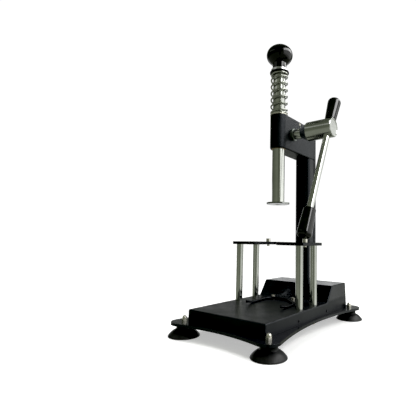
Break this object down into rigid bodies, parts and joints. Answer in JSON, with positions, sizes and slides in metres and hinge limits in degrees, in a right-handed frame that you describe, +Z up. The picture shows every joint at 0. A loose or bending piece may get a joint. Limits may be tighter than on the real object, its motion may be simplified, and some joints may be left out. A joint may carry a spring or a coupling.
{
  "type": "cheese press",
  "caption": "Hand-lever rack press with a sprung round ram, a U-shaped shelf on posts and a cast base on suction cups.",
  "frame": {"origin": "on the ground, in the middle of the four suction cups", "axes": "+Z up along the ram, +X to the lever side (the operator's right), -Y to the open front"},
  "size_m": [0.2106, 0.3256, 0.519],
  "materials": {
    "black_paint": "satin",
    "black_screws": "satin",
    "black_rubber": "matt",
    "chrome": "polished",
    "steel": "turned",
    "zinc": "zinc plated",
    "spring_steel": "drawn",
    "black_plastic": "gloss",
    "bronze": "plain"
  },
  "bodies": {
    "frame": {"foot_plate": "black_paint", "base": "black_paint", "column": "black_paint", "head": "black_paint", "support_shelf": "black_paint", "fence": "black_paint", "side_screws": "black_screws", "plate_screws": "black_screws", "shelf_screws": "black_screws", "head_bolts": "black_screws", "suction_cup_front_left": "black_rubber", "suction_cup_front_right": "black_rubber", "suction_cup_rear_left": "black_rubber", "suction_cup_rear_right": "black_rubber", "post_front_left": "chrome", "post_front_right": "chrome", "post_rear_left": "chrome", "post_rear_right": "chrome", "cup_studs": "zinc", "cup_nuts": "zinc", "column_bolts": "zinc", "post_studs": "zinc", "post_nuts": "zinc", "stop_screws": "zinc", "fence_screws": "zinc", "head_set_screw": "zinc", "spring_seat": "zinc", "return_spring": "spring_steel", "ram_bushes": "bronze", "pinion_bushes": "bronze"},
    "ram": {"ram": "chrome", "press_disc": "steel", "disc_screw": "steel", "ball_knob": "black_plastic", "knob_stud": "steel", "knob_washer": "zinc", "knob_buffer": "black_rubber"},
    "drive": {"pinion_shaft": "steel", "retaining_washer": "steel", "retaining_nut": "steel", "hub_collar": "steel", "lever_hub": "steel", "hub_screw": "steel"},
    "lever": {"lever_bar": "chrome", "upper_grip": "black_plastic", "lower_grip": "black_plastic"}
  },
  "joints": [
    {"name": "ram_slide", "type": "slide", "parent": "frame", "child": "ram", "axis": [0, 0, -1], "range_m": [0, 0.05], "stiffness_N_per_m": 1500, "springref_m": -0.03, "deforming": ["return_spring"]},
    {"name": "lever_turn", "type": "hinge", "parent": "frame", "child": "drive", "pos_m": [0, 0.025, 0.3485], "axis": [1, 0, 0], "range_deg": [0, 212.5]},
    {"name": "bar_slide", "type": "slide", "parent": "drive", "child": "lever", "axis": [0, 0.4195, 0.9078], "range_m": [0, 0.145]}
  ],
  "couplings": [
    {"joint": "lever_turn", "follows": "ram_slide", "rad_per_m": 74.074}
  ]
}
